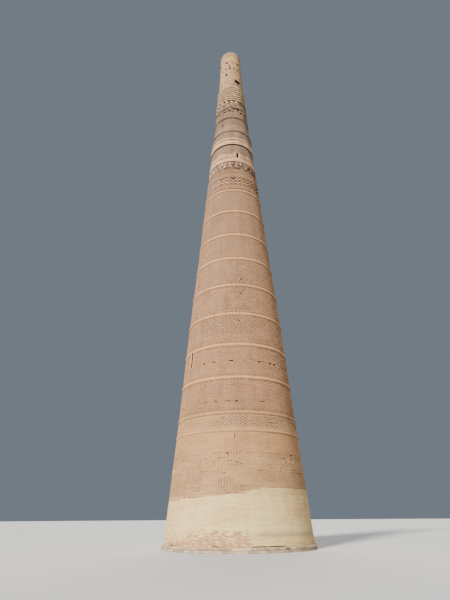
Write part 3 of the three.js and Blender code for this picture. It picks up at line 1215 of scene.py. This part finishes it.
def build_corbel_band():
    """Bricks on end over the stumps and the deep holes of the fallen corbels."""
    layer = Bricklayer("corbel_band", recess=0.2, head=(0.06, 0.07))
    depth, tiers = 0.17, 2
    stumps_head = layer.foot + 0.31 * REAL

    def lost(azimuths, height):
        rise = (height - layer.foot) / (stumps_head - layer.foot)
        right = 0.5 * within(azimuths, [(20, 70)])
        return patchiness(azimuths, height, seed=21, size=0.5) > 1.9 - 1.2 * rise - right

    broken_facing(layer, layer.rows(high=stumps_head), lost, depth)
    tall = (layer.high - stumps_head) / tiers
    for tier in range(tiers):
        height = stumps_head + (tier + 0.5) * tall
        count = round(TURN * layer.face(height) / (0.13 * REAL))
        azimuths = around(count, 0.5 * (tier % 2))
        rough = within(azimuths, ROUGH_SIDES)
        sunk = layer.chance.random(count) < np.where(rough, 0.3, 0.12) / (1 + 2 * tier)
        bright = ~sunk & (layer.chance.random(count) < np.where(rough, 0.5, 0.12))
        proud = np.where(sunk, -0.7 * depth, layer.chance.uniform(-0.03, 0.02, count)) * REAL
        # Bricks at azimuths 12 to 70 are darkened: painted shade on the side turned from the key light
        tone = np.where(bright, 0.5, 0.7) - 0.7 * within(azimuths, [(12, 70)])
        size = (0.105 * REAL, tall * 0.95)
        layer.set_bricks(azimuths, height, *size, proud, np.where(sunk, 0, tone), second=bright)
    layer.build("worn", second="band", mortar="core")


def build_worn_bands():
    """Two bands whose facing has broken away under each head, with a row of blocks."""
    lower = Bricklayer("worn_band", recess=0.1)
    gap_foot, gap_head, loose = level(47.56), level(47.74), level(46.95)
    lower.grooves.append((gap_foot, gap_head, 0.2 * REAL))

    def lost_below(azimuths, height):
        return patchiness(azimuths, height, seed=31, size=0.3) > (0.6 if height > loose else 1.5)

    broken_facing(lower, lower.rows(high=gap_foot), lost_below, depth=0.12)
    lower.plain_courses(lower.rows(gap_head), 0.4)
    blocks(lower, [-6, 52, 170, 230], level(47.46), long=0.26, tall=0.16, proud=0.02)
    lower.build("upper", second="band")

    upper = Bricklayer("dentil_band", recess=0.14, head=(0.1, 0.12))
    sunk_from = level(48.86)

    def lost_above(azimuths, height):
        ragged = patchiness(azimuths, height, seed=33, size=0.4)
        return (height > sunk_from + 0.06 * REAL * ragged) | (ragged > 1.3)

    broken_facing(upper, upper.rows(), lost_above, depth=0.12, tone=0.45)
    azimuths = np.concatenate([np.arange(-36, 20, 18.0), np.arange(90, 320, 18.0)])
    jitter = upper.chance.uniform(-0.04, 0.04, len(azimuths)) * REAL
    blocks(upper, azimuths, level(48.8) + jitter, long=0.3, tall=0.28, proud=0.04)
    upper.build("upper", second="band")


def build_slit_drum():
    """The drum with the slit, faced pale up to its middle, with a deep groove at its head."""
    layer = Bricklayer("slit_drum", foot=(0.12, 0.07), head=(0.14, 0.12))

    def facing(azimuths, height, row):
        ragged = patchiness(azimuths, height, seed=41, size=1)
        faced = (height - layer.foot) / REAL < 0.76 + 0.1 * ragged
        return dict(tone=np.where(faced, 0.35, 0.3), second=faced)

    layer.courses(layer.rows(), facing)
    jamb = level(38.75) + np.arange(3) * 0.2 * REAL
    blocks(layer, np.full(3, 17.0), jamb, long=0.1, tall=0.17, proud=0.02)
    blocks(layer, [5.5], level(39.5), long=0.26, tall=0.1, proud=0.02)
    layer.build("upper", second="band")


def build_drums():
    """The drum with traces of lozenges, the plain one and the ribbed one."""
    lozenges = Bricklayer("lozenge_drum", recess=0.028, head=(0.05, 0.05))
    rows = lozenges.rows()
    paired_courses(lozenges, rows, gap=0.07)

    def traces(azimuths, heights):
        return within(azimuths, [(4, 34), (110, 150), (-120, -70)])

    low, high = rows[7][0], rows[-2][0]
    straps = dict(tiers=1, cell=0.42, strap=0.06, relief=0, there=traces)
    crossing_straps(lozenges, low, high, second=1, tone=0.1, **straps)
    lozenges.build("upper")

    plain = Bricklayer("plain_drum", recess=0.028, foot=(0.13, 0.06), head=(0.1, 0.09))
    dull = level(44.45)
    paired_courses(plain, plain.rows(high=dull), gap=0.07, tone=0.6)
    paired_courses(plain, plain.rows(dull), gap=0.07, tone=0.15)
    plain.build("upper")

    ribbed = Bricklayer("ribbed_drum")
    count = ribbed.bricks_round()
    for row, (height, tall) in enumerate(ribbed.rows()):
        if row % 7 > 4 and row < 42:
            ribbed.grooves.append((height - tall / 2, height + tall / 2, 0.09 * REAL))
        else:
            pale = ribbed.chance.random(count) < 0.6
            ribbed.lay(height, tall, running_bond(count, row), tone=0.6, second=pale)
    ribbed.build("upper", second="top")


def build_top():
    """The top shaft, with a rough grey repair under its breach and a yellow stain on high."""
    lower = Bricklayer("top_shaft_lower")

    def repaired(azimuths, height, row):
        where = degrees(azimuths)
        slant = level(52.9) - 0.012 * abs(where - 24) * REAL
        patched = (abs(height - slant) < 0.35 * REAL) & (where > 2) & (where < 52)
        rough = patched * lower.chance.uniform(-0.03, 0.02, len(where))
        redder = (level(52.5) < height < level(53.3)) & (where < 0)
        dull = 0.25 * ((level(54.1) < height < level(55.1)) & (where > 5))
        # Darker past azimuth 5: painted shade on the side turned from the key light
        tone = np.where(where > 5, 0.1, 0.4) - 0.35 * redder - dull
        looks = dict(second=patched, missing=0.004)
        return dict(proud=rough, tone=np.where(patched, 0.9, tone), **looks)

    lower.courses(lower.rows(), repaired)
    lower.build("top", second="upper")
    upper = Bricklayer("top_shaft_upper")

    def stained(azimuths, height, row):
        where = degrees(azimuths)
        ragged = 0.2 * patchiness(azimuths, height, seed=51, size=0.8)
        yellow = np.interp(height, [level(57.5), level(58.1)], [0, 0.6])
        yellow = yellow * np.interp(where, [-70, -20, 10, 60, 110], [0.1, 0.3, 1, 0.8, 0.1])
        stain = np.clip(yellow * (1 + ragged), 0, 1)
        # Darker on the right and a little at the far left: painted shade on the sides turned from the
        # key light
        tone = np.interp(where, [-50, -35, 5, 25], [0.4, 0.5, 0.5, 0.1]) - 0.2 * (stain > 0.3)
        return dict(tone=tone, stain=stain, missing=0.01)

    upper.courses(upper.rows(), stained)
    upper.build("top")


def build_cap():
    """The worn cap: level courses, then rings of bricks that lean in to the crown."""
    layer = Bricklayer("top_cap")
    side, shoulder = layer.radii[0], layer.levels[1]
    rounding = side - layer.radii[-1]
    rise = layer.levels[-1] - shoulder
    thick = 0.04 * REAL

    def greyed(azimuths, height, row):
        return dict(tone=0.2, second=layer.chance.random(len(azimuths)) < 0.7)

    layer.courses(layer.rows(high=shoulder), greyed)
    rings = []
    for turn in np.radians([15, 45, 75]):
        radius = side - rounding + (rounding - thick) * math.cos(turn)
        rings.append((radius, shoulder + (rise - thick) * math.sin(turn), turn, 0.13 * REAL))
    for radius in (0.86, 0.63, 0.4, 0.17):
        height = layer.head - thick - 0.1 * radius * REAL
        rings.append((radius * REAL, height, math.radians(85), 0.2 * REAL))
    for number, (radius, height, pitch, tall) in enumerate(rings):
        count = max(3, round(TURN * radius / (0.25 * REAL)))
        size = (TURN * radius / count - layer.sizes.joint, thick, tall)
        looks = dict(second=np.arange(count) % 3 > 0, pitch=pitch)
        layer.place_bricks(around(count, 0.5 * (number % 2)), radius, height, *size, 0.2, **looks)
    recess = layer.recess
    edges = [
        (side - recess, layer.foot),
        (side - recess, shoulder),
        (side - 0.3 * rounding - recess, shoulder + 0.7 * rise - recess),
        (side - rounding - recess, layer.levels[-1] - thick / 2),
        (0.05 * REAL, layer.head - thick / 2),
    ]
    layer.build("top", second="cap", edge=edges)


def build_stage_set():
    """Plain pale floor, soft light and the camera."""
    look = bpy.context.scene.minaret_stage
    wide, thick = 400, 0.3
    profile = [(0, -thick), (wide, -thick), (wide, 0), (0, 0)]
    mesh = turned_mesh("floor", profile, sides=96)
    floor = add_object("floor", mesh)
    finish = Finish("pale_floor", roughness=0.9)
    even = finish.ramp(finish.noise(0.05, 2), {0.3: 0.42, 0.7: 0.46})
    mesh.materials.append(finish.finish(even, finish.bump(finish.noise(30, 2), 0.05, 0.001)))

    world = bpy.data.worlds.new("pale_surround")
    world.use_nodes = True
    background = world.node_tree.nodes["Background"].inputs
    background["Color"].default_value = (0.7, 0.83, 1, 1)
    background["Strength"].default_value = look.sky
    bpy.context.scene.world = world

    for name, strength, softness, azimuth, tilt in (
        ("key_light", look.sun, 9, -32, 52),
        ("back_light", look.back_light, 40, 180, 50),
    ):
        lamp = bpy.data.lights.new(name, "SUN")
        lamp.energy = strength
        lamp.angle = math.radians(softness)
        lamp.color = (1, 0.96, 0.9)
        turned = Matrix.Rotation(math.radians(azimuth), 4, "Z")
        turned = turned @ Matrix.Rotation(math.radians(tilt), 4, "X")
        add_object(name, lamp).matrix_world = turned

    lens = bpy.data.cameras.new("camera")
    lens.lens, lens.sensor_width, lens.clip_end = look.lens, 36, 1000
    camera = add_object("camera", lens)
    camera.matrix_world = (
        Matrix.Translation((-look.sideways, -look.distance, FOOT_LEVEL + look.eye_height))
        @ Matrix.Rotation(math.pi / 2 + look.pitch, 4, "X")
        @ Matrix.Rotation(look.roll, 4, "Z")
    )
    bpy.context.scene.camera = camera


# Operators and panel


class MINARET_OT_footing(Operator):
    """Lays the stones of the round footing"""

    bl_idname = "minaret.footing"
    bl_label = "Footing"

    def execute(self, context):
        build_footing()
        return {"FINISHED"}


class MINARET_OT_lower_walls(Operator):
    """Lays the repaired foot and the old walls under the first ring"""

    bl_idname = "minaret.lower_walls"
    bl_label = "Lower Walls"

    def execute(self, context):
        build_repaired_base()
        build_lower_wall()
        build_worn_frieze()
        build_smooth_wall()
        return {"FINISHED"}


class MINARET_OT_rings(Operator):
    """Lays the ten pale rings"""

    bl_idname = "minaret.rings"
    bl_label = "Rings"

    def execute(self, context):
        build_ring("ring_1", "smooth", tone=0.35)
        build_ring("ring_2", "lower_wall", tone=0.15)
        for number in range(3, 11):
            build_ring(f"ring_{number}", "ring", tone=0.6)
        return {"FINISHED"}


class MINARET_OT_stages(Operator):
    """Lays the stages between the rings"""

    bl_idname = "minaret.stages"
    bl_label = "Stages"

    def execute(self, context):
        for number, (gap, plain, patches) in enumerate(STAGES, start=1):
            build_stage(f"stage_{number}", gap, plain, patches)
        return {"FINISHED"}


class MINARET_OT_friezes(Operator):
    """Lays the two lattice friezes"""

    bl_idname = "minaret.friezes"
    bl_label = "Friezes"

    def execute(self, context):
        build_lower_frieze()
        build_upper_frieze()
        return {"FINISHED"}


class MINARET_OT_collar(Operator):
    """Lays the plain walls and the pale band over the rings"""

    bl_idname = "minaret.collar"
    bl_label = "Collar"

    def execute(self, context):
        build_collar()
        build_plain("pale_band", "band", tone=0.6, mortar="pale_mortar")
        return {"FINISHED"}


class MINARET_OT_broken_bands(Operator):
    """Lays the band of fallen corbels and the two broken bands under the top"""

    bl_idname = "minaret.broken_bands"
    bl_label = "Broken Bands"

    def execute(self, context):
        build_corbel_band()
        build_worn_bands()
        return {"FINISHED"}


class MINARET_OT_slit_drum(Operator):
    """Lays the drum with the slit window"""

    bl_idname = "minaret.slit_drum"
    bl_label = "Slit Drum"

    def execute(self, context):
        build_slit_drum()
        return {"FINISHED"}


class MINARET_OT_cornice(Operator):
    """Lays the pale cornice, the fillet over its groove, the ledge and the string course"""

    bl_idname = "minaret.cornice"
    bl_label = "Cornice"

    def execute(self, context):
        build_plain("cornice_band", "band", tone=0.95, mortar="pale_mortar")
        looks = dict(tone=0.9, mortar="pale_mortar")
        build_plain("cornice_fillet", "band", foot=(0.17, 0.1), **looks)
        # The ledge and the string course are laid dark to paint the thin lines of shade at these steps
        build_plain("ledge_course", "worn", tone=0.1)
        build_plain("string_course", "worn", tone=0.1)
        return {"FINISHED"}


class MINARET_OT_drums(Operator):
    """Lays the lozenge, plain and ribbed drums"""

    bl_idname = "minaret.drums"
    bl_label = "Drums"

    def execute(self, context):
        build_drums()
        return {"FINISHED"}


class MINARET_OT_top(Operator):
    """Lays the top shaft and the worn cap"""

    bl_idname = "minaret.top"
    bl_label = "Top Shaft and Cap"

    def execute(self, context):
        build_top()
        build_cap()
        return {"FINISHED"}


class MINARET_OT_stage_set(Operator):
    """Makes the floor, the light and the camera"""

    bl_idname = "minaret.stage_set"
    bl_label = "Stage"

    def execute(self, context):
        build_stage_set()
        return {"FINISHED"}


OPERATORS = (
    MINARET_OT_footing,
    MINARET_OT_lower_walls,
    MINARET_OT_rings,
    MINARET_OT_stages,
    MINARET_OT_friezes,
    MINARET_OT_collar,
    MINARET_OT_broken_bands,
    MINARET_OT_slit_drum,
    MINARET_OT_cornice,
    MINARET_OT_drums,
    MINARET_OT_top,
    MINARET_OT_stage_set,
)
SETTINGS = {
    "minaret_brickwork": MinaretBrickwork,
    "minaret_colours": MinaretColours,
    "minaret_stage": MinaretStage,
}


class MINARET_PT_sidebar(Panel):
    """Lists the settings and the pieces of the minaret."""

    bl_idname = "MINARET_PT_sidebar"
    bl_label = "Minaret"
    bl_space_type = "VIEW_3D"
    bl_region_type = "UI"
    bl_category = "Minaret"

    def draw(self, context):
        for group, kind in SETTINGS.items():
            box = self.layout.box()
            for name in kind.__annotations__:
                box.prop(getattr(context.scene, group), name)
        for operator in OPERATORS:
            self.layout.operator(operator.bl_idname)


CLASSES = (*SETTINGS.values(), *OPERATORS, MINARET_PT_sidebar)


def register():
    for item in CLASSES:
        bpy.utils.register_class(item)
    for group, kind in SETTINGS.items():
        setattr(bpy.types.Scene, group, PointerProperty(type=kind))


def unregister():
    for group in SETTINGS:
        delattr(bpy.types.Scene, group)
    for item in reversed(CLASSES):
        bpy.utils.unregister_class(item)


def main():
    register()
    bpy.ops.minaret.footing()
    bpy.ops.minaret.lower_walls()
    bpy.ops.minaret.rings()
    bpy.ops.minaret.stages()
    bpy.ops.minaret.friezes()
    bpy.ops.minaret.collar()
    bpy.ops.minaret.broken_bands()
    bpy.ops.minaret.slit_drum()
    bpy.ops.minaret.cornice()
    bpy.ops.minaret.drums()
    bpy.ops.minaret.top()
    bpy.ops.minaret.stage_set()


if __name__ == "__main__":
    main()
